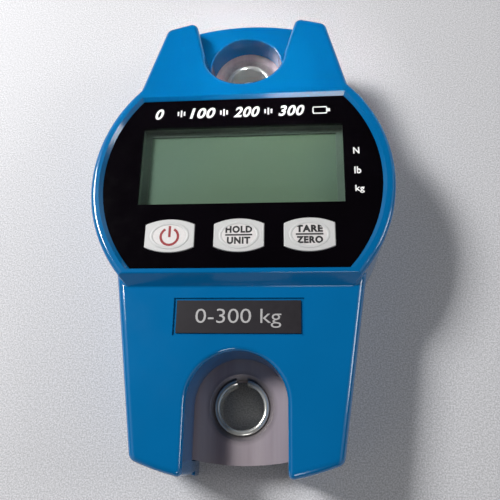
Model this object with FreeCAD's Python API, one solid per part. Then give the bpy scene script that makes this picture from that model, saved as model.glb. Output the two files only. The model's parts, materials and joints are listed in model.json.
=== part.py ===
"""Compact digital hanging scale, lying on its flat back.

Millimetres. +Z points up out of the display face, +Y runs towards the upper (hanging) eye and +X
to the reader's right. The origin is the middle of the outline on the back face.
"""
import FreeCAD, Part
import math
import os

from FreeCAD import Vector

# ---------------------------------------------------------------- driving dimensions
head_radius = 50.0            # round head, 100 mm across: the widest part of the case
upper_radius = 81.0           # both ends of the case are arcs about one centre
lower_radius = 82.0
head_offset = 10.75           # head centre above the centre of those arcs
case_height = 37.0            # back face to the top of the head's rim
panel_z = 35.8                # face of the black display panel
lower_face_z = 32.2           # flat face of the lower body
seam_z = 8.0                  # joint between the front and rear housings
wall = 2.6                    # casting wall
back_wall = 2.4               # floor of the rear housing

lower_half = 44.6             # lower body's half width, measured where its sides pass the head centre
lower_taper = 0.156           # and how much it narrows per millimetre of length
upper_half = 43.7             # the same for the two ears
upper_taper = 0.22
ear_crease = 32.3             # ears slope down from this far above the head centre ...
ear_fall = 10.0               # ... at this angle in degrees
corner_radius = 3.0           # outer corners of the four tips, seen from above
tip_radius = 2.4              # inner corners of the two ears
rim_rounding = 1.8
lower_rounding = 2.4
notch_rounding = 1.5
step_rounding = 0.6           # top of the step below the display
foot_rounding = 0.8           # and its foot
back_rounding = 1.2
seam_chamfer = 0.3

notch_half = 15.2             # arched notch at the lower end
eye_hole_radius = 13.3        # hole through the upper recess
eye_hole_rounding = 0.5
recess_ledge = 0.6            # the recess floor shows this far round the eye hole
recess_draft = 0.7            # and its walls open by this much at the top
recess_floor_z = 23.8
recess_mouth_half = 18.9      # half width of the upper recess at the end of the case
lower_eye_offset = 59.6       # eye centres, from the centre of the end arcs
upper_eye_offset = 62.2

cell_end_radius = 77.2        # load cell: a thick aluminium plate, wide at its two ends
cell_half = 19.5
cell_waist_half = 13.0
cell_bottom_z = 4.0
cell_thickness = 10.0
bush_radius = 8.8             # split steel bush in each eye
bush_bore = 7.1
bush_lip = 0.8                # rounding of the bush's lip
bush_gap_angle = 13.0         # half the angle of its split, in degrees
countersink = 1.6
slot_clearance = 0.4          # free gap between the load cell and the case

panel_radius = 45.8           # display panel: a disc with two flats
panel_flat = 30.3
panel_thickness = 1.2
window_half_x = 33.7
window_half_y = 14.15
window_offset = 5.55          # window centre above the head centre
lcd_view_half_x = 31.6
lcd_view_half_y = 12.6
key_offset = -19.6            # row of keys, from the head centre
key_pitch = 22.2
key_half_x = 8.0
key_side_half = 3.8           # straight side of a key; its other two sides bulge
key_bulge_half = 5.6
key_travel = 0.5
key_proud = 0.3
key_gap = 0.2

label_half_x = 19.25
label_half_y = 5.1
label_offset = 44.85          # label centre below the head centre

cell_spacing = 11.2           # two AAA cells side by side
aaa_radius = 5.2
aaa_length = 43.7
tray_wall = 1.2
door_thickness = 2.2
door_lip = 1.0                # the door's tongues reach this far into the housing's grooves
door_gap = 0.2

# ---------------------------------------------------------------- derived places
leg_reach = math.sqrt(lower_radius ** 2 - notch_half ** 2)
body_y = (leg_reach - upper_radius) / 2    # centre of the end arcs, so that the outline is centred on Y = 0
head_y = body_y + head_offset
lower_eye_y = body_y - lower_eye_offset
upper_eye_y = body_y + upper_eye_offset
cell_top_z = cell_bottom_z + cell_thickness
seat_z = panel_z - panel_thickness
deck_z = seat_z - 2.2         # underside of the deck that carries the panel
lower_roof_z = lower_face_z - wall
ear_roof_z = 27.6             # roof of the hollow inside the sloping ears
board_top_z = 26.2
board_thickness = 1.6
board_bottom_z = board_top_z - board_thickness
key_centres = [(-key_pitch, head_y + key_offset), (0.0, head_y + key_offset), (key_pitch, head_y + key_offset)]
step_top_y = head_y - panel_flat - 1.8
step_foot_y = step_top_y - 3.3
window_y = head_y + window_offset
label_y = head_y - label_offset
battery_x = -27.8             # middle of the battery bay
bay_half_x = cell_spacing + 0.3
bay_half_y = 25.4
bay_roof_z = cell_top_z       # underside of the tray's top
battery_z = back_wall + 0.5 + aaa_radius
board_posts = [(-35.0, head_y - 21.0), (35.0, head_y - 21.0), (-10.0, head_y + 26.0), (10.0, head_y + 26.0)]
case_posts = [(-26.8, body_y - 57.0), (26.8, body_y - 57.0), (-25.0, body_y + 61.5), (25.0, body_y + 61.5)]
cell_posts = [(-13.0, head_y + 35.5), (13.0, head_y + 35.5)]
far = 200.0                   # longer than anything here, for cutting tools


# ---------------------------------------------------------------- small tools
def box(x0, x1, y0, y1, z0, z1):
    return Part.makeBox(x1 - x0, y1 - y0, z1 - z0, Vector(x0, y0, z0))


def centred_box(x, y, half_x, half_y, z0, z1):
    return box(x - half_x, x + half_x, y - half_y, y + half_y, z0, z1)


def cylinder(radius, x, y, z0, z1):
    return Part.makeCylinder(radius, z1 - z0, Vector(x, y, z0))


def cone(bottom_radius, top_radius, x, y, z0, z1):
    return Part.makeCone(bottom_radius, top_radius, z1 - z0, Vector(x, y, z0))


def extrude(wire, z0, z1):
    face = Part.Face(wire)
    face.translate(Vector(0, 0, z0))
    return face.extrude(Vector(0, 0, z1 - z0))


def join(shapes):
    result = shapes[0]
    for shape in shapes[1:]:
        result = result.fuse(shape)
    return result.removeSplitter()


def cut_all(shape, tools):
    for tool in tools:
        shape = shape.cut(tool)
    return shape


def group(shapes):
    return Part.makeCompound(shapes)


def line(start, end):
    return Part.LineSegment(Vector(*start, 0), Vector(*end, 0)).toShape()


def arc(start, middle, end):
    return Part.Arc(Vector(*start, 0), Vector(*middle, 0), Vector(*end, 0)).toShape()


def edges_where(shape, test):
    return [edge for edge in shape.Edges if test(edge.BoundBox)]


def round_edges(shape, radius, test):
    return shape.makeFillet(radius, edges_where(shape, test))


def flat_at(z):
    """A test for edges that lie in the plane at this height."""
    return lambda bounds: abs(bounds.ZMin - z) < 1e-4 and abs(bounds.ZMax - z) < 1e-4


def block_across(points, half_width=far):
    """A block along X from its outline in Y and Z."""
    outline = Part.makePolygon([Vector(-half_width, y, z) for y, z in points + points[:1]])
    return Part.Face(outline).extrude(Vector(2 * half_width, 0, 0))


# ---------------------------------------------------------------- plan outlines
def end_corner(half, taper, radius, side):
    """Where a tapering side meets the end circle. side is +1 for the ears and -1 for the lower body."""
    centre = side * (body_y - head_y)
    slope = half * taper + centre
    reach = half ** 2 + centre ** 2 - radius ** 2
    distance = (slope + math.sqrt(slope ** 2 - (1 + taper ** 2) * reach)) / (1 + taper ** 2)
    return half - taper * distance, head_y + side * distance


def tapered_end(side, inset=0.0):
    """One end of the case: two tapering sides from the head's centre line and an arc across the end."""
    half, taper, radius = lower_half, lower_taper, lower_radius - inset
    if side > 0:
        half, taper, radius = upper_half, upper_taper, upper_radius - inset
    half -= inset * math.hypot(1, taper)
    x, y = end_corner(half, taper, radius, side)
    return Part.Wire([
        line((half, head_y), (x, y)),
        arc((x, y), (0, body_y + side * radius), (-x, y)),
        line((-x, y), (-half, head_y)),
        line((-half, head_y), (half, head_y)),
    ])


def flat_disc(radius, upper_flat, lower_flat):
    """A disc round the head centre with a flat towards each end of the case."""
    upper_x = math.sqrt(radius ** 2 - upper_flat ** 2)
    lower_x = math.sqrt(radius ** 2 - lower_flat ** 2)
    top = head_y + upper_flat
    bottom = head_y - lower_flat
    return Part.Wire([
        line((-upper_x, top), (upper_x, top)),
        arc((upper_x, top), (radius, head_y), (lower_x, bottom)),
        line((lower_x, bottom), (-lower_x, bottom)),
        arc((-lower_x, bottom), (-radius, head_y), (-upper_x, top)),
    ])


def key_outline(x, y, grow=0.0):
    """A key: straight short sides, bulging long ones."""
    half_x = key_half_x + grow
    side = key_side_half + grow
    bulge = key_bulge_half + grow
    return Part.Wire([
        arc((x - half_x, y + side), (x, y + bulge), (x + half_x, y + side)),
        line((x + half_x, y + side), (x + half_x, y - side)),
        arc((x + half_x, y - side), (x, y - bulge), (x - half_x, y - side)),
        line((x - half_x, y - side), (x - half_x, y + side)),
    ])


def notch_outline(grow=0.0):
    """The arched notch round the lower eye, open at the end of the case."""
    half = notch_half + grow
    return Part.Wire([
        arc((-half, lower_eye_y), (0, lower_eye_y + half), (half, lower_eye_y)),
        line((half, lower_eye_y), (half, -far)),
        line((half, -far), (-half, -far)),
        line((-half, -far), (-half, lower_eye_y)),
    ])


def recess_outline(grow=0.0):
    """The upper recess: it hugs the eye hole and flares towards the end of the case."""
    radius = eye_hole_radius + recess_ledge + grow
    mouth = body_y + upper_radius
    flare = (recess_mouth_half - eye_hole_radius - recess_ledge) / (mouth - upper_eye_y)
    end_y = mouth + 10
    end_x = radius + flare * (end_y - upper_eye_y)
    return Part.Wire([
        arc((-radius, upper_eye_y), (0, upper_eye_y - radius), (radius, upper_eye_y)),
        line((radius, upper_eye_y), (end_x, end_y)),
        line((end_x, end_y), (-end_x, end_y)),
        line((-end_x, end_y), (-radius, upper_eye_y)),
    ])


def cell_outline(grow=0.0):
    """The load cell's plan: wide ends with round tips, and a waist beside the battery bay."""
    half = cell_half + grow
    waist = cell_waist_half + grow
    radius = cell_end_radius + grow
    shoulder = half - waist
    lower_y = head_y - 28 - grow
    upper_y = head_y + 28 + grow
    reach = math.sqrt(radius ** 2 - half ** 2)
    right = [(half, body_y - reach), (half, lower_y - shoulder), (waist, lower_y),
             (waist, upper_y), (half, upper_y + shoulder), (half, body_y + reach)]
    left = [(-x, y) for x, y in reversed(right)]
    edges = [line(start, end) for start, end in zip(right[:-1], right[1:])]
    edges.append(arc(right[-1], (0, body_y + radius), left[0]))
    edges += [line(start, end) for start, end in zip(left[:-1], left[1:])]
    edges.append(arc(left[-1], (0, body_y - radius), right[0]))
    return Part.Wire(edges)


# ---------------------------------------------------------------- the case
def cornered_end(side, bottom_z, top_z):
    """One end of the case as a block with its outer corners rounded."""
    solid = extrude(tapered_end(side), bottom_z, top_z)
    return round_edges(solid, corner_radius, lambda b: b.ZLength > 1 and (b.YMin - body_y) * side > 50)


def ear_start():
    """How far above the head centre the ears' sides leave the round head."""
    slope = upper_half * upper_taper
    square = 1 + upper_taper ** 2
    return (slope + math.sqrt(slope ** 2 - square * (upper_half ** 2 - head_radius ** 2))) / square


def ear_slope():
    """Everything above the sloping face of the ears."""
    start = head_y + ear_crease
    fall = math.tan(math.radians(ear_fall))
    return block_across([(start, case_height), (start, case_height + 20), (start + 60, case_height + 20),
                         (start + 60, case_height - 60 * fall)])


def head_step():
    """Everything in front of the sloping step between the head and the lower face."""
    return block_across([(step_top_y, case_height), (step_foot_y, lower_face_z), (-far, lower_face_z),
                         (-far, case_height + 20), (step_top_y, case_height + 20)])


def upper_recess():
    """The recess round the upper eye, its walls opening upwards."""
    floor = recess_outline()
    floor.translate(Vector(0, 0, recess_floor_z))
    mouth = recess_outline(recess_draft)
    mouth.translate(Vector(0, 0, case_height))
    return Part.makeLoft([floor, mouth], True, True)


def ears():
    """Both ears and the bridge between them, with every edge of their sloping face rounded."""
    foot = head_y + ear_start() - 0.3
    solid = cornered_end(1, seam_z, case_height).cut(ear_slope()).cut(box(-far, far, -far, foot, 0, 60))
    solid = solid.cut(upper_recess())
    solid = round_edges(solid, tip_radius, lambda b: b.ZLength > 5 and b.ZMin > seam_z + 5 and
                        b.YMin > body_y + 70 and abs(b.Center.x) < recess_mouth_half + 3)
    rise = math.cos(math.radians(ear_fall))
    sloping = [face for face in solid.Faces if abs(face.normalAt(0, 0).z - rise) < 1e-4]
    face = max(sloping, key=lambda candidate: candidate.Area)
    return solid.makeFillet(rim_rounding, [edge for edge in face.Edges if edge.BoundBox.YMax > foot + 1])


def front_outside():
    """The front housing's outer skin as a solid."""
    head = cylinder(head_radius, 0, head_y, seam_z, case_height)
    head = round_edges(head, rim_rounding, flat_at(case_height))
    head = head.cut(head_step())
    head = round_edges(head, step_rounding, lambda b: flat_at(case_height)(b) and b.YMax < step_top_y + 1e-3)
    head = head.cut(ear_slope()).cut(box(-far, far, head_y + ear_start(), far, 0, 60))
    lower = cornered_end(-1, seam_z, lower_face_z)
    lower = round_edges(lower, lower_rounding, lambda b: flat_at(lower_face_z)(b) and b.YMin < head_y - 1)
    outside = join([head, lower, ears()])
    outside = round_edges(outside, foot_rounding, lambda b: flat_at(lower_face_z)(b) and b.YLength < 1e-3 and
                          abs(b.YMin - step_foot_y) < 1e-3)
    return outside.makeChamfer(seam_chamfer, edges_where(outside, flat_at(seam_z)))


def panel_pocket():
    """The seat of the display panel, with a sloping inner wall up to the rim."""
    rim = 1.2
    seat = extrude(flat_disc(panel_radius + 0.1, panel_flat + 0.1, panel_flat + 0.1), seat_z, case_height + 1)
    bottom = flat_disc(panel_radius + 0.1, panel_flat + 0.1, panel_flat + 0.1)
    bottom.translate(Vector(0, 0, panel_z))
    top = flat_disc(panel_radius + rim, panel_flat + rim, panel_flat + 0.5)
    top.translate(Vector(0, 0, case_height + 0.02))
    return seat.fuse(Part.makeLoft([bottom, top], True, True))


def front_cavity():
    """The hollow inside the front housing, clear of the walls of the notch, the recess and the eye."""
    head = cylinder(head_radius - wall, 0, head_y, seam_z - 1, deck_z)
    lower = extrude(tapered_end(-1, wall), seam_z - 1, lower_roof_z)
    upper = extrude(tapered_end(1, wall), seam_z - 1, ear_roof_z)
    hollow = join([head, lower, upper])
    keep = [extrude(notch_outline(wall), 0, 60)]
    keep.append(extrude(recess_outline(recess_draft + wall), recess_floor_z - wall, 60))
    keep.append(cylinder(eye_hole_radius + wall, 0, upper_eye_y, cell_top_z + slot_clearance, 60))
    step_floor = box(-far, far, -far, head_y - panel_flat - 1.0, lower_face_z - wall, 60)
    return cut_all(hollow, keep + [step_floor])


def front_housing():
    case = front_outside().cut(front_cavity())
    case = case.cut(panel_pocket())
    case = case.cut(extrude(notch_outline(), 0, 60))
    case = round_edges(case, notch_rounding, lambda b: flat_at(lower_face_z)(b) and b.YMax < lower_eye_y + 20 and
                       max(abs(b.XMin), abs(b.XMax)) < notch_half + 0.1 and b.YLength > 5)
    case = case.cut(cylinder(eye_hole_radius, 0, upper_eye_y, 0, 60))
    case = round_edges(case, eye_hole_rounding, lambda b: flat_at(recess_floor_z)(b) and
                       b.YMax < upper_eye_y + eye_hole_radius + 0.1 and b.YMin > upper_eye_y - eye_hole_radius - 0.1)
    posts = [cylinder(2.8, x, y, board_top_z, deck_z + 0.5) for x, y in board_posts]
    posts += [cylinder(3.4, x, y, seam_z, lower_roof_z if y < 0 else ear_roof_z) for x, y in case_posts]
    posts += [cylinder(3.4, x, y, cell_top_z, deck_z) for x, y in cell_posts]
    case = join([case] + posts)
    tools = [cylinder(1.0, x, y, board_top_z - 1, board_top_z + 5) for x, y in board_posts]
    tools += [cylinder(1.2, x, y, seam_z - 1, seam_z + 11) for x, y in case_posts]
    tools += [cylinder(1.2, x, y, cell_top_z - 1, cell_top_z + 7) for x, y in cell_posts]
    tools.append(centred_box(0, window_y, window_half_x + 1.8, window_half_y + 1.8, deck_z - 1, case_height))
    tools += [extrude(key_outline(x, y, 1.4), deck_z - 1, case_height) for x, y in key_centres]
    tools.append(centred_box(0, label_y, label_half_x + 1.0, label_half_y + 0.8, lower_face_z - 0.6, 60))
    tools.append(extrude(cell_outline(slot_clearance), 0, cell_top_z + slot_clearance))
    return cut_all(case, tools)


def rear_outside():
    shapes = [cylinder(head_radius, 0, head_y, 0, seam_z)]
    shapes += [cornered_end(side, 0, seam_z) for side in (-1, 1)]
    outside = round_edges(join(shapes), back_rounding, flat_at(0))
    return outside.makeChamfer(seam_chamfer, edges_where(outside, flat_at(seam_z)))


def rear_housing():
    case = rear_outside()
    hollow = join([cylinder(head_radius - wall, 0, head_y, back_wall, seam_z + 1)] +
                  [extrude(tapered_end(side, wall), back_wall, seam_z + 1) for side in (-1, 1)])
    hollow = hollow.cut(extrude(notch_outline(wall), 0, 60))
    hollow = hollow.cut(cylinder(eye_hole_radius + wall, 0, upper_eye_y, 0, cell_bottom_z - slot_clearance))
    case = case.cut(hollow)
    case = case.cut(extrude(notch_outline(), -1, 60))
    case = case.cut(cylinder(eye_hole_radius, 0, upper_eye_y, -1, 60))
    posts = [cylinder(3.4, x, y, 0.5, seam_z) for x, y in case_posts]
    case = join([case] + posts)
    tools = [cylinder(1.6, x, y, -1, seam_z + 1) for x, y in case_posts]
    tools += [cylinder(3.0, x, y, -1, 2.2) for x, y in case_posts]
    tools += [cylinder(3.3, x, y, 1.2, seam_z) for x, y in cell_posts]
    tools.append(extrude(cell_outline(slot_clearance), cell_bottom_z - slot_clearance, 60))
    tools += door_channel()
    tools.append(centred_box(battery_x, head_y, bay_half_x, bay_half_y, 0, 60))
    tools.append(centred_box(18.0, head_y - 4, 13.0, 21.0, -1, 0.5))
    return cut_all(case, tools)


# ---------------------------------------------------------------- battery door and bay
door_inner_x = battery_x + bay_half_x + 2.4
door_half_y = bay_half_y + 1.6
tongue_z = 1.1                # the tongues lie in the upper half of the door


def door_channel():
    """The door's way through the rear housing: a band, with a wider groove for the tongues."""
    top = door_thickness + door_gap
    band = box(-far, door_inner_x, head_y - door_half_y - door_gap, head_y + door_half_y + door_gap, -1, top)
    groove_half = door_half_y + door_lip + door_gap
    groove = box(-far, door_inner_x + door_lip, head_y - groove_half, head_y + groove_half,
                 tongue_z - door_gap, top)
    return [band, groove]


def battery_door():
    rim = cylinder(head_radius, 0, head_y, 0, door_thickness)
    rim = round_edges(rim, back_rounding, flat_at(0))
    inner = door_inner_x - door_gap
    band = box(-far, inner, head_y - door_half_y, head_y + door_half_y, 0, door_thickness)
    tongue_half = door_half_y + door_lip - 0.05
    tongue = box(-far, inner + door_lip - 0.1, head_y - tongue_half, head_y + tongue_half,
                 tongue_z, door_thickness)
    door = band.fuse(tongue).common(rim).removeSplitter()
    grips = [centred_box(-38.0 + 2.2 * step, head_y, 0.5, 9.0, -1, 0.5) for step in range(5)]
    return cut_all(door, grips)


def battery_tray():
    """An upturned box over the two cells, open towards the door."""
    bottom = back_wall + 0.05
    top = bay_roof_z + tray_wall
    outer = centred_box(battery_x, head_y, bay_half_x + tray_wall, bay_half_y + tray_wall, bottom, top)
    inner = centred_box(battery_x, head_y, bay_half_x, bay_half_y, bottom - 1, top - tray_wall)
    rib = centred_box(battery_x, head_y, 0.4, 20.0, battery_z + aaa_radius - 1.1, bay_roof_z)
    lead_holes = [cylinder(0.6, x, y, top - 2, top + 1) for x, y in battery_lead_places()]
    outer = outer.common(cylinder(head_radius - wall - 0.1, 0, head_y, bottom, top))
    return cut_all(outer.cut(inner).fuse(rib).removeSplitter(), lead_holes)


def battery_lead_places():
    """The two leads stand on the contacts at the bay's upper end."""
    return [(battery_x + side * 8, head_y + bay_half_y - 0.7) for side in (-1, 1)]


def battery_cell(x, direction):
    """One AAA cell along Y with its positive nub towards direction."""
    start = head_y - direction * aaa_length / 2
    can = Part.makeCylinder(aaa_radius, aaa_length, Vector(x, start, battery_z), Vector(0, direction, 0))
    can = can.makeFillet(0.5, [edge for edge in can.Edges if edge.Closed and edge.BoundBox.YLength < 1e-4])
    nub_start = head_y + direction * aaa_length / 2
    nub = Part.makeCylinder(1.9, 0.9, Vector(x, nub_start, battery_z), Vector(0, direction, 0))
    return can.fuse(nub).removeSplitter()


def battery_cells():
    half = cell_spacing / 2
    return group([battery_cell(battery_x - half, 1), battery_cell(battery_x + half, -1)])


def flat_contact(x, direction):
    """The plate that a cell's positive nub presses on."""
    wall_y = head_y + direction * bay_half_y
    inner_y = wall_y - direction * 0.4
    low, high = sorted((wall_y, inner_y))
    plate = box(x - 4, x + 4, low, high, 3.6, bay_roof_z)
    pad_y = inner_y - direction * 1.9
    low, high = sorted((inner_y, pad_y))
    return plate.fuse(box(x - 2, x + 2, low, high, battery_z - 2, battery_z + 2)).removeSplitter()


def leaf_contact(x, direction):
    """The bent leaf that presses on a cell's flat negative end."""
    wall_y = head_y + direction * bay_half_y
    tip_y = head_y + direction * (aaa_length / 2 + 0.05)
    low, high = sorted((wall_y, wall_y - direction * 0.4))
    plate = box(x - 4, x + 4, low, high, 3.6, bay_roof_z)
    thickness = -direction * 0.4
    outline = [(wall_y + thickness, 11.2), (tip_y, battery_z + 1), (tip_y, battery_z - 1),
               (wall_y + thickness, 4.4), (wall_y + thickness, 5.2), (tip_y - thickness, battery_z - 0.8),
               (tip_y - thickness, battery_z + 0.8), (wall_y + thickness, 10.4)]
    wire = Part.makePolygon([Vector(x - 2, y, z) for y, z in outline + outline[:1]])
    leaf = Part.Face(wire).extrude(Vector(4, 0, 0))
    return plate.fuse(leaf).removeSplitter()


def battery_contacts():
    half = cell_spacing / 2
    left = battery_x - half
    right = battery_x + half
    return group([flat_contact(left, 1), leaf_contact(left, -1), flat_contact(right, -1), leaf_contact(right, 1)])


# ---------------------------------------------------------------- load path
def load_cell():
    plate = extrude(cell_outline(), cell_bottom_z, cell_top_z)
    tools = []
    for y in (lower_eye_y, upper_eye_y):
        tools.append(cylinder(bush_radius, 0, y, 0, 60))
        tools.append(cone(bush_radius, bush_radius + countersink, 0, y, cell_top_z - countersink, cell_top_z))
        tools.append(cone(bush_radius + 0.8, bush_radius, 0, y, cell_bottom_z, cell_bottom_z + 0.8))
    for x, y in cell_posts:
        tools.append(cylinder(1.6, x, y, 0, 60))
    tools += [cylinder(5.0, 0, head_y + step, 0, 60) for step in (-9, 9)]
    tools.append(centred_box(0, head_y, 1.0, 9.0, 0, 60))
    tools += [centred_box(x, y, 2.6, 5.0, cell_top_z - gauge_pocket, 60) for x, y in gauge_places()]
    return cut_all(plate, tools)


def eye_bush(y):
    """A rolled steel bush with a rounded lip, its split opening towards the display."""
    bush = cylinder(bush_radius, 0, y, cell_bottom_z + 0.2, cell_top_z - 0.2)
    bush = bush.cut(cylinder(bush_bore, 0, y, 0, 60))
    bush = round_edges(bush, bush_lip, lambda b: b.ZLength < 1e-4)
    reach = 2 * bush_radius
    spread = reach * math.tan(math.radians(bush_gap_angle))
    far_y = y + reach if y < 0 else y - reach
    corners = [Vector(0, y, 0), Vector(spread, far_y, 0), Vector(-spread, far_y, 0), Vector(0, y, 0)]
    return bush.cut(extrude(Part.makePolygon(corners), 0, 60))


gauge_x = 8.8
gauge_pocket = 1.2            # depth of the pockets that hold the strain gauges


def gauge_places():
    return [(side * gauge_x, head_y) for side in (-1, 1)]


def strain_gauges():
    floor = cell_top_z - gauge_pocket
    return group([centred_box(x, y, 1.6, 3.6, floor, floor + 0.2) for x, y in gauge_places()])


def gauge_sealant():
    floor = cell_top_z - gauge_pocket
    pads = [centred_box(x, y, 2.6, 5.0, floor, cell_top_z) for x, y in gauge_places()]
    return group([pad.cut(strain_gauges()) for pad in pads])


# ---------------------------------------------------------------- display, keys and electronics
def display_panel():
    panel = extrude(flat_disc(panel_radius, panel_flat, panel_flat), seat_z, panel_z)
    opening = centred_box(0, window_y, window_half_x, window_half_y, 0, 60)
    return cut_all(panel, [opening] + [extrude(key_outline(x, y, key_gap), 0, 60) for x, y in key_centres])


def display_window():
    return centred_box(0, window_y, window_half_x - 0.05, window_half_y - 0.05, seat_z + 0.1, panel_z - 0.2)


def lcd_bezel():
    """A frame behind the window with a ledge that masks the edge of the glass."""
    frame = centred_box(0, window_y, window_half_x + 1.6, window_half_y + 1.6, board_top_z + 0.1, seat_z - 0.05)
    well = centred_box(0, window_y, window_half_x, window_half_y, 32.2, 60)
    view = centred_box(0, window_y, lcd_view_half_x, lcd_view_half_y, 0, 60)
    pocket = centred_box(0, window_y, window_half_x - 0.4, window_half_y - 0.2, 0, 31.6)
    return cut_all(frame, [well, view, pocket])


def lcd_glass():
    return centred_box(0, window_y, window_half_x - 0.6, window_half_y - 0.4, 29.8, 31.55)


def lcd_backlight():
    return centred_box(0, window_y, window_half_x - 0.6, window_half_y - 0.4, board_top_z + 1.4, 29.75)


def lcd_connector():
    """The rubber strips that join the glass to the board."""
    half_x = window_half_x - 6
    strips = []
    for side in (-1, 1):
        strips.append(centred_box(0, window_y + side * (window_half_y - 2.0), half_x, 0.9,
                                  board_top_z, board_top_z + 1.35))
    return group(strips)


def key_cap(x, y):
    """A key with a wider foot under the panel and a stem down to its switch."""
    cap = extrude(key_outline(x, y), seat_z - 0.8, panel_z + key_proud)
    cap = round_edges(cap, 0.25, flat_at(panel_z + key_proud))
    foot = extrude(key_outline(x, y, 0.9), seat_z - 1.2, seat_z - 0.15)
    stem = cylinder(2.6, x, y, plunger_top_z, seat_z - 1.2)
    return join([cap, foot, stem])


switch_top_z = 30.4


plunger_top_z = 32.0
plunger_bottom_z = switch_top_z - 1.6


def key_plunger(x, y):
    """The moving button of a tactile switch, under the key's stem."""
    button = cylinder(1.7, x, y, plunger_bottom_z, plunger_top_z)
    flange = cylinder(2.3, x, y, plunger_bottom_z, plunger_bottom_z + 0.7)
    return join([button, flange])


def key_switches():
    """The fixed bodies of the three switches, each hollow above for its button."""
    bodies = []
    for x, y in key_centres:
        body = centred_box(x, y, 3.1, 3.1, board_top_z, switch_top_z)
        well_z = plunger_bottom_z - key_travel - 0.2
        body = body.cut(cylinder(2.5, x, y, well_z, switch_top_z - 0.7))
        body = body.cut(cylinder(1.8, x, y, switch_top_z - 1, switch_top_z + 1))
        bodies.append(body)
    return group(bodies)


def main_board():
    board = extrude(flat_disc(43.0, 30.8, 29.0), board_bottom_z, board_top_z)
    return cut_all(board, [cylinder(1.2, x, y, 0, 60) for x, y in board_posts])


def board_chips():
    """Packages on the underside of the board."""
    z = board_bottom_z
    chips = [centred_box(8, head_y + 6, 6.0, 6.0, z - 1.4, z), centred_box(-12, head_y + 6, 4.0, 2.5, z - 1.6, z),
             centred_box(-4, head_y - 14, 3.0, 2.5, z - 1.6, z), centred_box(24, head_y - 12, 2.0, 4.5, z - 3.2, z)]
    return group(chips)


socket_height = 4.0
sensor_socket_offset = 16.0


def board_sockets():
    """Two lead sockets on the underside of the board."""
    z = board_bottom_z
    return group([centred_box(battery_x, head_y + bay_half_y - 0.7, 10.5, 2.2, z - socket_height, z),
                  centred_box(0, head_y + sensor_socket_offset, 5.0, 2.2, z - socket_height, z)])


def buzzer():
    body = cylinder(6.0, 28.0, head_y + 8, board_bottom_z - 5.0, board_bottom_z)
    return body.cut(cylinder(1.0, 28.0, head_y + 8, 0, board_bottom_z - 3.0))


def battery_leads():
    """Two short insulated leads straight up from the tray to their socket."""
    return group([cylinder(0.5, x, y, bay_roof_z, board_bottom_z - socket_height) for x, y in battery_lead_places()])


def sensor_leads():
    """Four thin leads up from the sealant to their socket, two from each gauge."""
    leads = []
    for side in (-1, 1):
        for step in (-1.0, 1.0):
            start = Vector(side * gauge_x, head_y + 2.2 + step, cell_top_z)
            end = Vector(side * (2.7 + 0.6 * step), head_y + sensor_socket_offset + 0.6 * step,
                         board_bottom_z - socket_height)
            leads.append(bent_lead(start, end, cell_top_z + 4.0, 1.6))
    return group(leads)


def bent_lead(start, end, level, radius):
    """A lead that rises from start, runs across at this level and rises to end, with an arc at each turn."""
    along = Vector(end.x - start.x, end.y - start.y, 0).normalize()
    up = Vector(0, 0, 1)
    first = Vector(start.x, start.y, level)
    second = Vector(end.x, end.y, level)
    path = Part.Wire([
        Part.LineSegment(start, first - up * radius).toShape(),
        quarter(first, up * -1, along, radius),
        Part.LineSegment(first + along * radius, second - along * radius).toShape(),
        quarter(second, along * -1, up, radius),
        Part.LineSegment(second + up * radius, end).toShape(),
    ])
    lead = path.makePipeShell([Part.Wire(Part.makeCircle(0.35, start, up))], True, False)
    return lead if lead.Volume > 0 else lead.reversed()


def quarter(corner, back, ahead, radius):
    """The arc that rounds a right-angled corner between two directions."""
    start = corner + back * radius
    end = corner + ahead * radius
    centre = corner + (back + ahead) * radius
    middle = centre - (back + ahead) * (radius / math.sqrt(2))
    return Part.Arc(start, middle, end).toShape()


# ---------------------------------------------------------------- labels and screws
def capacity_plate():
    return centred_box(0, label_y, label_half_x, label_half_y, lower_face_z - 0.6, lower_face_z - 0.1)


def rating_plate():
    plate = centred_box(18.0, head_y - 4, 12.6, 20.6, 0.1, 0.5)
    return round_edges(plate, 1.5, lambda b: b.ZLength > 0.3)


def screw(x, y, head_z, tip_z, shank, head, head_height):
    """A cross-head screw driven upwards: its head is lowest."""
    body = cylinder(head, x, y, head_z, head_z + head_height)
    body = body.fuse(cylinder(shank, x, y, head_z + head_height, tip_z)).removeSplitter()
    slot = 0.35
    cross = [centred_box(x, y, head * 0.6, slot, head_z - 1, head_z + head_height * 0.55),
             centred_box(x, y, slot, head * 0.6, head_z - 1, head_z + head_height * 0.55)]
    return cut_all(body, cross)


def case_screws():
    return group([screw(x, y, 0.6, seam_z + 9, 1.2, 2.7, 1.6) for x, y in case_posts])


def cell_screws():
    return group([screw(x, y, cell_bottom_z - 1.5, cell_top_z + 6, 1.2, 2.7, 1.5) for x, y in cell_posts])


def board_screws():
    return group([screw(x, y, board_bottom_z - 1.3, board_top_z + 4.5, 1.0, 2.0, 1.3) for x, y in board_posts])


# ---------------------------------------------------------------- writing the parts
key_names = ["power", "hold_unit", "tare_zero"]

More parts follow.
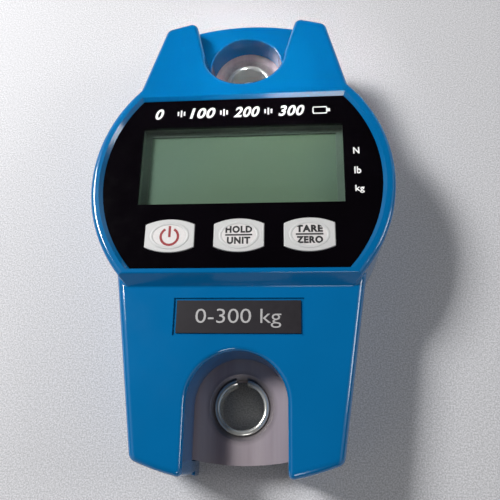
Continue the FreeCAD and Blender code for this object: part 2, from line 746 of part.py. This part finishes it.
parts = {
    "front_housing": front_housing,
    "rear_housing": rear_housing,
    "display_panel": display_panel,
    "display_window": display_window,
    "lcd_bezel": lcd_bezel,
    "lcd_glass": lcd_glass,
    "lcd_backlight": lcd_backlight,
    "lcd_connector": lcd_connector,
    "main_board": main_board,
    "board_chips": board_chips,
    "board_sockets": board_sockets,
    "board_screws": board_screws,
    "buzzer": buzzer,
    "key_switches": key_switches,
    "load_cell": load_cell,
    "upper_bush": lambda: eye_bush(upper_eye_y),
    "lower_bush": lambda: eye_bush(lower_eye_y),
    "strain_gauges": strain_gauges,
    "gauge_sealant": gauge_sealant,
    "sensor_leads": sensor_leads,
    "cell_screws": cell_screws,
    "case_screws": case_screws,
    "capacity_plate": capacity_plate,
    "rating_plate": rating_plate,
    "battery_tray": battery_tray,
    "battery_cells": battery_cells,
    "battery_contacts": battery_contacts,
    "battery_leads": battery_leads,
    "battery_door": battery_door,
}
for key_name, (key_x, key_y) in zip(key_names, key_centres):
    parts[key_name + "_key"] = lambda x=key_x, y=key_y: key_cap(x, y)
    parts[key_name + "_plunger"] = lambda x=key_x, y=key_y: key_plunger(x, y)

os.makedirs("parts", exist_ok=True)
for name, make in parts.items():
    shape = make()
    if not shape.isValid():
        raise RuntimeError(name + " is not a valid shape")
    shape.exportStep("parts/" + name + ".step")
    bounds = shape.BoundBox
    print("%-18s solids %2d  volume %9.1f  x %6.1f %6.1f  y %6.1f %6.1f  z %5.1f %5.1f" % (
        name, len(shape.Solids), shape.Volume, bounds.XMin, bounds.XMax,
        bounds.YMin, bounds.YMax, bounds.ZMin, bounds.ZMax))
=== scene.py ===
"""Looks of a compact digital hanging scale that lies on its back on a pale floor."""

import json
import math

import bmesh
import bpy
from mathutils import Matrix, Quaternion, Vector


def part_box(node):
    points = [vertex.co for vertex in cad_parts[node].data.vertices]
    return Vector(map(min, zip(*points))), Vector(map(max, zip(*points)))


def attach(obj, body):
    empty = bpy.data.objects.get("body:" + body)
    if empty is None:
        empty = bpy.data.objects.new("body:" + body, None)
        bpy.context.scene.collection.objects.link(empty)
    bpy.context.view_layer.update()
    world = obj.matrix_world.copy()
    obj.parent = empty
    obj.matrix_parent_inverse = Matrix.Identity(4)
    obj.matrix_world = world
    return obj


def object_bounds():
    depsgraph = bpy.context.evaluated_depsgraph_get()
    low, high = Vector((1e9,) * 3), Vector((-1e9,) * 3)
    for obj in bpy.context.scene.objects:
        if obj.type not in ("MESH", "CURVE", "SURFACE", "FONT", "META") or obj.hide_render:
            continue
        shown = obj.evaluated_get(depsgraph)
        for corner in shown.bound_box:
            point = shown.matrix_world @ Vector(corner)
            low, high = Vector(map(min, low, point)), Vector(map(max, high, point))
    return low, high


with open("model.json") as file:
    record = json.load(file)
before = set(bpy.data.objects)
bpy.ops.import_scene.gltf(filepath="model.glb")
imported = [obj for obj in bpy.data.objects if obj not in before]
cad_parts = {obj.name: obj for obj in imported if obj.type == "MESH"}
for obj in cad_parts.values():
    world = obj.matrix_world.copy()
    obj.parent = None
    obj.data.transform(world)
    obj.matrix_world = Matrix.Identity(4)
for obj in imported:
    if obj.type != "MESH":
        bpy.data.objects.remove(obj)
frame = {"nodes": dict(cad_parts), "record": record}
cad_low, cad_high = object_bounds()
MM = 0.001


# ---------------------------------------------------------------- places taken from the frame
def middle(node):
    """The middle of a CAD node's box."""
    low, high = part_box(node)
    return (Vector(low) + Vector(high)) / 2


def top(node):
    """The height of a CAD node's upper side."""
    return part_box(node)[1][2]


# The case's middle line is x = 0, and print on the panel takes its x from there.
PANEL = middle("display_panel")
PANEL_TOP = top("display_panel")
KEYS = ("power", "hold_unit", "tare_zero")
RIB_HALF_X = 5.9 * MM         # the oval rib on each key, to the middle of its tube
RIB_HALF_Y = 4.1 * MM
RIB_TUBE = 0.5 * MM
RIB_TO_PAD = 0.4 * MM         # the smooth pad inside the rib is smaller by this much
OVAL_STEPS = 48
LIFT = 0.02 * MM              # printed ink stands this far above what it is printed on


# ---------------------------------------------------------------- colours
def screen(red, green, blue):
    """A linear colour from its 0 to 255 screen values."""
    def linear(value):
        value /= 255
        return value / 12.92 if value <= 0.04045 else ((value + 0.055) / 1.055) ** 2.4
    return (linear(red), linear(green), linear(blue), 1.0)


def shade(colour, factor):
    """The same colour, lighter or darker."""
    return tuple(min(1.0, part * factor) for part in colour[:3]) + (1.0,)


def between(dark, light, spread=0.2):
    """Ramp stops about the middle of a noise, where nearly all of its values lie."""
    return [(0.5 - spread, dark), (0.5 + spread, light)]


def fill_ramp(node, stops):
    """Gives a colour ramp its stops, a rising list of (position, colour)."""
    elements = node.color_ramp.elements
    while len(elements) < len(stops):
        elements.new(0.5)
    for element, (position, colour) in zip(elements, stops):
        element.position = position
        element.color = colour


FULL = (1.0, 1.0, 1.0, 1.0)
NONE = (0.0, 0.0, 0.0, 1.0)


# ---------------------------------------------------------------- material tools
class Surface:
    """A Principled material whose colour, roughness and relief come from procedural textures."""

    def __init__(self, name, roughness, metallic=0.0):
        self.material = bpy.data.materials.new(name)
        self.material.use_nodes = True
        self.tree = self.material.node_tree
        self.shader = self.tree.nodes["Principled BSDF"]
        self.shader.inputs["Roughness"].default_value = roughness
        self.shader.inputs["Metallic"].default_value = metallic
        self.place = self.tree.nodes.new("ShaderNodeTexCoord").outputs["Object"]

    def set(self, **values):
        """Sets uniform values on the shader's own sockets."""
        for name, value in values.items():
            self.shader.inputs[name.replace("_", " ")].default_value = value
        return self

    def stretched(self, scale):
        """Object coordinates scaled by a different amount along each axis."""
        node = self.tree.nodes.new("ShaderNodeMapping")
        node.inputs["Scale"].default_value = scale
        self.tree.links.new(self.place, node.inputs["Vector"])
        return node.outputs["Vector"]

    def lengthwise(self):
        """The Y coordinate alone, in metres."""
        node = self.tree.nodes.new("ShaderNodeSeparateXYZ")
        self.tree.links.new(self.place, node.inputs["Vector"])
        return node.outputs["Y"]

    def remap(self, value, old, new):
        """A value carried from one range to another, each range a (low, high)."""
        node = self.tree.nodes.new("ShaderNodeMapRange")
        for end, number in zip(("From Min", "From Max", "To Min", "To Max"), old + new):
            node.inputs[end].default_value = number
        self.tree.links.new(value, node.inputs["Value"])
        return node.outputs["Result"]

    def noise(self, size, detail=3.0, place=None):
        """Noise whose features are about this many metres across."""
        node = self.tree.nodes.new("ShaderNodeTexNoise")
        node.inputs["Scale"].default_value = 1.0 / size
        node.inputs["Detail"].default_value = detail
        self.tree.links.new(place or self.place, node.inputs["Vector"])
        return node.outputs["Fac"]

    def near(self, centres, z):
        """The distance in metres to the nearest of these centres, all taken at height z."""
        nearest = None
        for centre in centres:
            distance = self.tree.nodes.new("ShaderNodeVectorMath")
            distance.operation = "DISTANCE"
            distance.inputs[1].default_value = (centre.x, centre.y, z)
            self.tree.links.new(self.place, distance.inputs[0])
            if nearest is None:
                nearest = distance.outputs["Value"]
                continue
            least = self.tree.nodes.new("ShaderNodeMath")
            least.operation = "MINIMUM"
            self.tree.links.new(nearest, least.inputs[0])
            self.tree.links.new(distance.outputs["Value"], least.inputs[1])
            nearest = least.outputs[0]
        return nearest

    def ramp(self, value, stops):
        """The colour that a colour ramp gives to a value."""
        node = self.tree.nodes.new("ShaderNodeValToRGB")
        fill_ramp(node, stops)
        self.tree.links.new(value, node.inputs["Fac"])
        return node.outputs["Color"]

    def blend(self, share, under, over):
        """Colours the surface with the second of two colours, over the first, by its share."""
        mix = self.tree.nodes.new("ShaderNodeMix")
        mix.data_type = "RGBA"
        self.tree.links.new(share, mix.inputs["Factor"])
        self.tree.links.new(under, mix.inputs["A"])
        self.tree.links.new(over, mix.inputs["B"])
        self.tree.links.new(mix.outputs["Result"], self.shader.inputs["Base Color"])
        return self

    def colour(self, value, stops):
        """Colours the surface by a ramp over a value."""
        self.tree.links.new(self.ramp(value, stops), self.shader.inputs["Base Color"])
        return self

    def vary(self, colour, amount, size):
        """One colour, drifting a little lighter and darker."""
        drift = between(shade(colour, 1 - amount), shade(colour, 1 + amount))
        return self.colour(self.noise(size), drift)

    def rough(self, low, high, size, place=None):
        """A roughness that wanders between two values."""
        wander = self.remap(self.noise(size, 4.0, place), (0.3, 0.7), (low, high))
        self.tree.links.new(wander, self.shader.inputs["Roughness"])
        return self

    def bump(self, value, height):
        """Relief of this height in metres."""
        node = self.tree.nodes.new("ShaderNodeBump")
        node.inputs["Distance"].default_value = height
        self.tree.links.new(value, node.inputs["Height"])
        self.tree.links.new(node.outputs["Normal"], self.shader.inputs["Normal"])
        return self


# ---------------------------------------------------------------- materials
def case_paint():
    """Glossy blue paint over a casting, with a faint orange peel."""
    paint = Surface("case_paint", 0.3).vary(screen(2, 100, 156), 0.05, 30 * MM)
    paint.set(Specular_IOR_Level=0.45, Coat_Weight=0.35, Coat_Roughness=0.06)
    return paint.rough(0.1, 0.17, 12 * MM).bump(paint.noise(1.2 * MM), 0.004 * MM).material


def panel_black():
    """Gloss black printed sheet."""
    sheet = Surface("panel_black", 0.1).vary(screen(6, 4, 7), 0.2, 20 * MM)
    sheet.set(Specular_IOR_Level=0.25)
    return sheet.rough(0.07, 0.12, 6 * MM).bump(sheet.noise(0.6 * MM), 0.001 * MM).material


def clear_window():
    """The clear sheet over the display, all but invisible."""
    sheet = Surface("clear_window", 0.06).vary(screen(40, 44, 42), 0.05, 20 * MM)
    sheet.set(Alpha=0.07)
    return sheet.rough(0.04, 0.1, 9 * MM).material


def lcd_green():
    """Blank liquid crystal glass: grey-green, with a slow drift of tone and a fine pixel grain."""
    glass = Surface("lcd_green", 0.6)
    glass.set(Specular_IOR_Level=0.15)
    glass.colour(glass.noise(60 * MM, 1.0), between(screen(92, 119, 103), screen(94, 117, 91)))
    return glass.rough(0.55, 0.7, 8 * MM).bump(glass.noise(0.15 * MM), 0.002 * MM).material


def plastic(name, colour, roughness, grain=0.004 * MM):
    """Moulded plastic with a fine spark-eroded texture."""
    part = Surface(name, roughness).vary(colour, 0.07, 10 * MM)
    part.rough(roughness - 0.06, roughness + 0.08, 4 * MM)
    return part.bump(part.noise(0.35 * MM), grain).material


def black_plastic():
    """Moulded black plastic. The screen's frame is printed in the glass's tone at its two sides; the
    band above the print, under the window's upper edge, keeps the dark colour as painted shade.
    """
    part = Surface("black_plastic", 0.5)
    low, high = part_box("lcd_glass")
    blur = 0.1 * MM
    print_start = low[1]
    # the print stops short of the glass's top edge, leaving a dark band there as painted shade
    print_end_shade_start = high[1] - 1.6 * MM
    sides = part.ramp(part.lengthwise(), [(print_start, NONE), (print_start + blur, FULL),
                                          (print_end_shade_start - blur, FULL), (print_end_shade_start, NONE)])
    drift = part.noise(10 * MM)
    # this dark colour is the moulded plastic and also the painted shade of the band along the
    # screen's top
    moulded_and_top_shade = part.ramp(drift, between(screen(32, 34, 33), screen(36, 38, 37)))
    printed = part.ramp(drift, between(screen(80, 102, 88), screen(86, 108, 94)))
    part.blend(sides, moulded_and_top_shade, printed).rough(0.44, 0.58, 4 * MM)
    return part.bump(part.noise(0.35 * MM), 0.004 * MM).material


def key_white():
    """Satin white moulded key."""
    part = Surface("key_white", 0.38).vary(screen(196, 196, 195), 0.02, 6 * MM)
    return part.rough(0.32, 0.44, 3 * MM).bump(part.noise(0.4 * MM), 0.002 * MM).material


def brushed(name, colour, roughness, along):
    """Metal with fine drawn lines; along scales the texture down on the axis they follow."""
    metal = Surface(name, roughness, 1.0)
    place = metal.stretched(along)
    lines = metal.noise(0.5 * MM, 5.0, place)
    metal.colour(lines, between(shade(colour, 0.9), shade(colour, 1.06)))
    metal.rough(roughness - 0.07, roughness + 0.1, 0.8 * MM, place)
    return metal.bump(metal.noise(0.3 * MM, 4.0, place), 0.002 * MM).material


def cell_aluminium():
    """Milled aluminium with a soft lengthwise grain, and a ring round each bush painted darker as
    painted shade and dark reflection in its turned counterbore.
    """
    metal = Surface("cell_aluminium", 0.45, 0.3)
    along = metal.stretched((1.0, 0.03, 1.0))
    grain = metal.noise(6 * MM, 4.0, along)
    milled = metal.ramp(grain, between(screen(150, 134, 142), screen(178, 166, 170), 0.15))
    # the ring round each bush is painted dark: painted shade and dark reflection of the counterbore
    counterbore_shade_drift = metal.noise(0.8 * MM)
    counterbore_shade = metal.ramp(counterbore_shade_drift, between(screen(52, 54, 50), screen(84, 86, 80), 0.15))
    ring = 10.4 * MM
    blur = 0.05 * MM
    nearest = metal.near([middle("lower_bush"), middle("upper_bush")], top("load_cell"))
    counterbore_shade_mask = metal.ramp(nearest, [(ring - blur, FULL), (ring + blur, NONE)])
    metal.blend(counterbore_shade_mask, milled, counterbore_shade).rough(0.36, 0.5, 0.8 * MM, along)
    return metal.bump(metal.noise(0.3 * MM, 4.0, along), 0.002 * MM).material


def bush_steel():
    """Bright plated steel, slightly scuffed."""
    metal = Surface("bush_steel", 0.2, 0.7).vary(screen(236, 234, 226), 0.06, 3 * MM)
    return metal.rough(0.14, 0.26, 1.5 * MM).bump(metal.noise(0.7 * MM), 0.0015 * MM).material


def label_grey():
    """Dark grey printed film with a fine satin grain."""
    film = Surface("label_grey", 0.5).vary(screen(37, 34, 38), 0.08, 5 * MM)
    film.set(Specular_IOR_Level=0.2)
    return film.rough(0.42, 0.58, 2 * MM).bump(film.noise(0.25 * MM), 0.004 * MM).material


def rating_silver():
    """Satin silver film of the back plate."""
    film = Surface("rating_silver", 0.42, 0.3).vary(screen(186, 188, 190), 0.05, 8 * MM)
    return film.rough(0.36, 0.5, 2 * MM).bump(film.noise(0.3 * MM), 0.003 * MM).material


def board_green():
    """Solder mask with faint copper tracks under it."""
    board = Surface("board_green", 0.35)
    tracks = board.noise(2.0 * MM, 0.0, board.stretched((1.0, 0.15, 1.0)))
    board.colour(tracks, between(screen(14, 82, 44), screen(22, 104, 58), 0.04))
    return board.rough(0.28, 0.42, 3 * MM).bump(tracks, 0.02 * MM).material


def rubber_grey():
    """Dull grey rubber with a fine grain."""
    rubber = Surface("rubber_grey", 0.8).vary(screen(70, 70, 74), 0.1, 2 * MM)
    return rubber.rough(0.7, 0.9, 1 * MM).bump(rubber.noise(0.2 * MM), 0.01 * MM).material


def gauge_foil():
    """Amber film with the fine lines of its resistance grid."""
    foil = Surface("gauge_foil", 0.4)
    lines = foil.noise(0.3 * MM, 0.0, foil.stretched((1.0, 0.05, 1.0)))
    foil.colour(lines, between(screen(196, 140, 62), screen(150, 110, 70), 0.05))
    return foil.rough(0.32, 0.5, 1 * MM).material


def cell_jacket():
    """The printed sleeve of a battery cell: dark, with a copper band round its upper end."""
    sleeve = Surface("cell_jacket", 0.3, 0.4)
    low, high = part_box("battery_cells")
    dark = screen(38, 44, 52)
    copper = screen(190, 120, 60)
    share = sleeve.remap(sleeve.lengthwise(), (low[1], high[1]), (0.0, 1.0))
    sleeve.colour(share, [(0.0, dark), (0.69, dark), (0.71, copper), (1.0, copper)])
    return sleeve.rough(0.22, 0.36, 4 * MM).bump(sleeve.noise(1 * MM), 0.003 * MM).material


def ink(name, colour):
    """Screen-printed ink: dense, a little uneven."""
    return Surface(name, 0.45).vary(colour, 0.05, 0.8 * MM).rough(0.38, 0.55, 0.5 * MM).material


MATERIALS = {
    "case_paint": case_paint(),
    "panel_black": panel_black(),
    "clear_window": clear_window(),
    "lcd_green": lcd_green(),
    "black_plastic": black_plastic(),
    "diffuser_white": plastic("diffuser_white", screen(228, 228, 220), 0.55),
    "rubber_grey": rubber_grey(),
    "board_green": board_green(),
    "steel_plated": brushed("steel_plated", screen(200, 198, 190), 0.35, (1.0, 1.0, 0.1)),
    "bush_steel": bush_steel(),
    "cell_aluminium": cell_aluminium(),
    "gauge_foil": gauge_foil(),
    "sealant_white": plastic("sealant_white", screen(232, 230, 224), 0.6, 0.02 * MM),
    "lead_red": plastic("lead_red", screen(176, 24, 20), 0.4),
    "key_white": key_white(),
    "label_grey": label_grey(),
    "rating_silver": rating_silver(),
    "cell_jacket": cell_jacket(),
    "contact_nickel": brushed("contact_nickel", screen(206, 200, 186), 0.25, (0.1, 1.0, 1.0)),
}
WHITE_INK = ink("white_ink", screen(238, 238, 236))
BLACK_INK = ink("black_ink", screen(24, 22, 24))
RED_INK = ink("red_ink", screen(140, 8, 20))
GREY_INK = ink("grey_ink", screen(172, 170, 170))
PAD_GREY = ink("pad_grey", screen(210, 206, 205))


def finish_nodes():
    """Gives every CAD node the material that its slot names."""
    for part in frame["record"]["subparts"]:
        mesh = frame["nodes"][part["node"]].data
        mesh.materials.clear()
        mesh.materials.append(MATERIALS[part["material_slot"]])


# ---------------------------------------------------------------- shapes of print and ribs
def bar(x, y, half_x, half_y):
    """The corners of an upright rectangle."""
    left = x - half_x
    right = x + half_x
    low = y - half_y
    high = y + half_y
    return [(left, low), (right, low), (right, high), (left, high)]


def oval(x, y, half_x, half_y, angles):
    """Points on an ellipse, at these angles in radians."""
    return [(x + half_x * math.cos(a), y + half_y * math.sin(a)) for a in angles]


def band(x, y, radius, width, start, end):
    """A piece of a ring between two angles in degrees."""
    turn = (end - start) / OVAL_STEPS
    angles = [math.radians(start + turn * step) for step in range(OVAL_STEPS + 1)]
    outer = radius + width / 2
    inner = radius - width / 2
    return oval(x, y, outer, outer, angles) + oval(x, y, inner, inner, angles)[::-1]


def mesh_from(work, name):
    """Turns finished bmesh work into a mesh."""
    bmesh.ops.recalc_face_normals(work, faces=work.faces)
    mesh = bpy.data.meshes.new(name)
    work.to_mesh(mesh)
    work.free()
    return mesh


def outline_mesh(name, loops, z, depth=LIFT):
    """Flat closed shapes, each a list of (x, y), with a small thickness."""
    work = bmesh.new()
    for loop in loops:
        face = work.faces.new([work.verts.new((x, y, z)) for x, y in loop])
        raised = bmesh.ops.extrude_face_region(work, geom=[face])["geom"]
        corners = [part for part in raised if isinstance(part, bmesh.types.BMVert)]
        bmesh.ops.translate(work, vec=(0, 0, depth), verts=corners)
    return mesh_from(work, name)


def lettering_mesh(name, text, x, y, z, width, height, weight, lean=0.0):
    """Generic letters or figures, stretched to fill a width and a height.

    A greater weight makes the strokes thicker and sets the letters further apart.
    """
    curve = bpy.data.curves.new(name, "FONT")
    curve.body = text
    curve.extrude = 0.01
    curve.offset = weight
    curve.space_character = 1 + 2.5 * weight
    curve.resolution_u = 4
    holder = bpy.data.objects.new(name, curve)
    bpy.context.scene.collection.objects.link(holder)
    bpy.context.view_layer.update()
    mesh = bpy.data.meshes.new_from_object(holder)
    bpy.data.objects.remove(holder)
    bpy.data.curves.remove(curve)
    low = Vector([min(v.co[axis] for v in mesh.vertices) for axis in range(3)])
    high = Vector([max(v.co[axis] for v in mesh.vertices) for axis in range(3)])
    size = high - low
    for vertex in mesh.vertices:
        across = (vertex.co.x - low.x) / size.x - 0.5
        up = (vertex.co.y - low.y) / size.y - 0.5
        thick = (vertex.co.z - low.z) / size.z
        vertex.co = (x + across * width + up * height * lean, y + up * height, z + thick * LIFT)
    mesh.name = name
    return mesh


def rib_mesh(name, centre, z):
    """An oval tube, flattened to a low rib, whose middle lies at height z."""
    around = 72
    across = 10
    work = bmesh.new()
    rows = []
    for step in range(around):
        angle = 2 * math.pi * step / around
        row = []
        for turn in range(across):
            tilt = 2 * math.pi * turn / across
            reach = RIB_TUBE * math.cos(tilt)
            x = centre.x + math.cos(angle) * (RIB_HALF_X + reach)
            y = centre.y + math.sin(angle) * (RIB_HALF_Y + reach)
            row.append(work.verts.new((x, y, z + 0.3 * RIB_TUBE * math.sin(tilt))))
        rows.append(row)
    for row, following in zip(rows, rows[1:] + rows[:1]):
        for turn in range(across):
            beside = (turn + 1) % across
            work.faces.new((row[turn], following[turn], following[beside], row[beside]))
    mesh = mesh_from(work, name)
    for face in mesh.polygons:
        face.use_smooth = True
    return mesh


# ---------------------------------------------------------------- printed and embossed pieces
def place(mesh, body, slot, material):
    """Makes a mesh that is already in the shared frame into a piece that rides on a body."""
    piece = bpy.data.objects.new(mesh.name, mesh)
    bpy.context.scene.collection.objects.link(piece)
    mesh.materials.clear()
    mesh.materials.append(material)
    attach(piece, body)


def power_legend():
    """The generic on and off mark: a broken ring with a stroke in its gap."""
    centre = middle("power_key")
    ring = band(centre.x, centre.y - 0.3 * MM, 2.8 * MM, 0.8 * MM, 120, 420)
    stroke = bar(centre.x, centre.y + 1.4 * MM, 0.4 * MM, 1.9 * MM)
    mesh = outline_mesh("power_legend", [ring, stroke], top("power_key"))
    place(mesh, "power_button", "key_white", RED_INK)


def two_line_legend(key, upper, upper_width, lower, lower_width):
    """Two generic words, one over the other, with a line between them."""
    centre = middle(key + "_key")
    z = top(key + "_key")
    body = key + "_button"
    height = 2.4 * MM
    from_line = 1.85 * MM
    words = (("_upper_legend", upper, upper_width, from_line),
             ("_lower_legend", lower, lower_width, -from_line))
    for ending, text, width, rise in words:
        mesh = lettering_mesh(key + ending, text, centre.x, centre.y + rise, z, width, height, 0.055)
        place(mesh, body, "key_white", BLACK_INK)
    line = bar(centre.x, centre.y, 4.3 * MM, 0.27 * MM)
    place(outline_mesh(key + "_rule", [line], z), body, "key_white", BLACK_INK)


def key_rings():
    """The oval rib moulded on each key."""
    for key in KEYS:
        mesh = rib_mesh(key + "_ring", middle(key + "_key"), top(key + "_key"))
        place(mesh, key + "_button", "key_white", MATERIALS["key_white"])


def key_pads():
    """The smooth oval inside each key's rib."""
    angles = [2 * math.pi * step / OVAL_STEPS for step in range(OVAL_STEPS)]
    half_x = RIB_HALF_X - RIB_TO_PAD
    half_y = RIB_HALF_Y - RIB_TO_PAD
    for key in KEYS:
        centre = middle(key + "_key")
        outline = oval(centre.x, centre.y, half_x, half_y, angles)
        mesh = outline_mesh(key + "_pad", [outline], top(key + "_key"), LIFT / 4)
        place(mesh, key + "_button", "key_white", PAD_GREY)


def graduated_row():
    """A generic row of figures over the display, with three ticks between each two."""
    y = PANEL.y + 25.2 * MM
    first = -28.5 * MM
    last = 17.0 * MM
    figures = ("0", "100", "200", "300")
    pitch = (last - first) / (len(figures) - 1)
    digit_width = 2.75 * MM
    digit_height = 4.1 * MM
    for step, text in enumerate(figures):
        mesh = lettering_mesh("panel_figure_" + text, text, first + pitch * step, y, PANEL_TOP,
                              digit_width * len(text), digit_height, 0.03, lean=0.25)
        place(mesh, "case", "panel_black", WHITE_INK)
    ticks = []
    for step in range(len(figures) - 1):
        between_figures = first + pitch * (step + 0.5)
        if step > 0:
            between_figures -= 0.4 * MM     # between two figures of three digits each
        for side, half_height in ((-1, 0.8 * MM), (0, 1.3 * MM), (1, 0.8 * MM)):
            x = between_figures + 0.07 * pitch * side
            ticks.append(bar(x, y, 0.28 * MM, half_height))
    place(outline_mesh("panel_ticks", ticks, PANEL_TOP), "case", "panel_black", WHITE_INK)


def unit_marks():
    """The three unit marks beside the display: text, x, rise, width and height, in millimetres."""
    marks = (("N", 37.8, 9.4, 2.0, 2.3), ("lb", 38.0, 2.3, 2.2, 2.5), ("kg", 38.4, -4.4, 2.9, 2.8))
    for text, x, rise, width, height in marks:
        mesh = lettering_mesh("unit_" + text, text, x * MM, PANEL.y + rise * MM, PANEL_TOP,
                              width * MM, height * MM, 0.025)
        place(mesh, "case", "panel_black", WHITE_INK)


def battery_symbol():
    """A plain outline of a cell at the right of the graduated row."""
    x = 26.4 * MM
    y = PANEL.y + 25.0 * MM
    half_x = 2.3 * MM
    half_y = 1.2 * MM
    line = 0.22 * MM
    loops = [bar(x, y + half_y, half_x, line), bar(x, y - half_y, half_x, line),
             bar(x - half_x, y, line, half_y - line), bar(x + half_x, y, line, half_y - line),
             bar(x + half_x + 3 * line, y, 2 * line, half_y / 2)]
    place(outline_mesh("battery_symbol", loops, PANEL_TOP), "case", "panel_black", WHITE_INK)


def capacity_legend():
    """The capacity, in generic figures, on its plate."""
    centre = middle("capacity_plate")
    mesh = lettering_mesh("capacity_figures", "0-300 kg", centre.x, centre.y - 0.5 * MM,
                          top("capacity_plate"), 26.5 * MM, 5.9 * MM, -0.004)
    place(mesh, "case", "label_grey", GREY_INK)


def rating_legend():
    """A plain ruled grid on the back plate, facing down."""
    centre = middle("rating_plate")
    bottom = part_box("rating_plate")[0][2]
    row_pitch = 5 * MM
    lines = [bar(centre.x, centre.y + row * row_pitch, 10 * MM, 0.15 * MM) for row in range(-3, 4)]
    lines.append(bar(centre.x - 4 * MM, centre.y, 0.12 * MM, 3 * row_pitch))
    mesh = outline_mesh("rating_rules", lines, bottom - LIFT)
    place(mesh, "case", "rating_silver", BLACK_INK)


def legends():
    """All print and ribs that the CAD leaves to the looks."""
    power_legend()
    two_line_legend("hold_unit", "HOLD", 8.5 * MM, "UNIT", 7.4 * MM)
    two_line_legend("tare_zero", "TARE", 8.3 * MM, "ZERO", 8.3 * MM)
    key_rings()
    key_pads()
    graduated_row()
    unit_marks()
    battery_symbol()
    capacity_legend()
    rating_legend()


# ---------------------------------------------------------------- the stage
def floor():
    """A pale floor with a fine fleck, as large as the light reaches."""
    bpy.ops.mesh.primitive_plane_add(size=4.0, location=(0, 0, cad_low[2]))
    ground = bpy.context.object
    ground.name = "floor"
    fleck = Surface("floor_grey", 0.75)
    grain = fleck.noise(0.5 * MM, 2.0)
    fleck.colour(grain, between(screen(176, 176, 178), screen(214, 213, 216), 0.15))
    fleck.bump(fleck.noise(0.5 * MM), 0.05 * MM)
    ground.data.materials.append(fleck.material)


def area_light(name, stands_at, aims_at, size, watts, beam):
    """A square soft box; beam is the full angle of its light in degrees."""
    light = bpy.data.lights.new(name, "AREA")
    light.size = size
    light.energy = watts
    light.spread = math.radians(beam)
    lamp = bpy.data.objects.new(name, light)
    lamp.location = stands_at
    aim = Vector(aims_at) - Vector(stands_at)
    lamp.rotation_euler = aim.to_track_quat("-Z", "Y").to_euler()
    bpy.context.scene.collection.objects.link(lamp)


def room():
    """A soft room that is light half way up at the left and right, and dark elsewhere."""
    light_wall = (1.0, 1.0, 1.0, 1.0)
    dark_wall = (0.03, 0.03, 0.032, 1.0)
    world = bpy.data.worlds.new("soft_room")
    world.use_nodes = True
    nodes = world.node_tree.nodes
    links = world.node_tree.links
    direction = nodes.new("ShaderNodeTexCoord").outputs["Generated"]
    split = nodes.new("ShaderNodeSeparateXYZ")
    links.new(direction, split.inputs["Vector"])
    sideways = nodes.new("ShaderNodeMath")
    sideways.operation = "ABSOLUTE"
    links.new(split.outputs["X"], sideways.inputs[0])
    side = nodes.new("ShaderNodeValToRGB")
    fill_ramp(side, [(0.48, dark_wall), (0.68, light_wall), (0.82, light_wall), (0.97, dark_wall)])
    links.new(sideways.outputs[0], side.inputs["Fac"])
    links.new(side.outputs["Color"], nodes["Background"].inputs["Color"])
    nodes["Background"].inputs["Strength"].default_value = 0.5
    bpy.context.scene.world = world


def lights():
    """A window beyond the upper left, weak lamps right and foot, and a narrow one at the head."""
    area_light("window_light", (-0.68, 0.36, 0.85), (-0.18, 0.13, 0.0), size=0.3, watts=1.7, beam=52)
    area_light("side_light", (0.95, 0.05, 0.56), (0.0, 0.0, 0.0), size=0.3, watts=2.4, beam=180)
    area_light("foot_light", (0.1, -1.0, 0.58), (0.0, -0.05, 0.0), size=0.3, watts=1.9, beam=180)
    area_light("head_light", (0.12, -0.2, 0.9), (0.0, 0.064, 0.0), size=0.05, watts=0.012, beam=7)
    bpy.context.scene.view_settings.view_transform = "Standard"


def camera():
    """Looks down from the foot and a little from the right, rolled to set the scale upright."""
    azimuth = math.radians(15.6)
    elevation = math.radians(69.13)
    roll = math.radians(-15.31)
    distance = 0.206
    half_way_up = (cad_low[2] + cad_high[2]) / 2
    aim = Vector((PANEL.x, PANEL.y, half_way_up)) + Vector((-0.58, -13.73, 0.0)) * MM
    back = Vector((math.sin(azimuth) * math.cos(elevation),
                   -math.cos(azimuth) * math.cos(elevation),
                   math.sin(elevation)))
    lens = bpy.data.cameras.new("camera")
    lens.lens = 42.85
    lens.shift_x = 0.015
    lens.shift_y = -0.027
    lens.clip_start = 0.01
    eye = bpy.data.objects.new("camera", lens)
    eye.location = aim + back * distance
    eye.rotation_mode = "QUATERNION"
    eye.rotation_quaternion = (-back).to_track_quat("-Z", "Y") @ Quaternion((0, 0, 1), roll)
    bpy.context.scene.collection.objects.link(eye)
    bpy.context.scene.camera = eye


finish_nodes()
legends()
floor()
room()
lights()
camera()
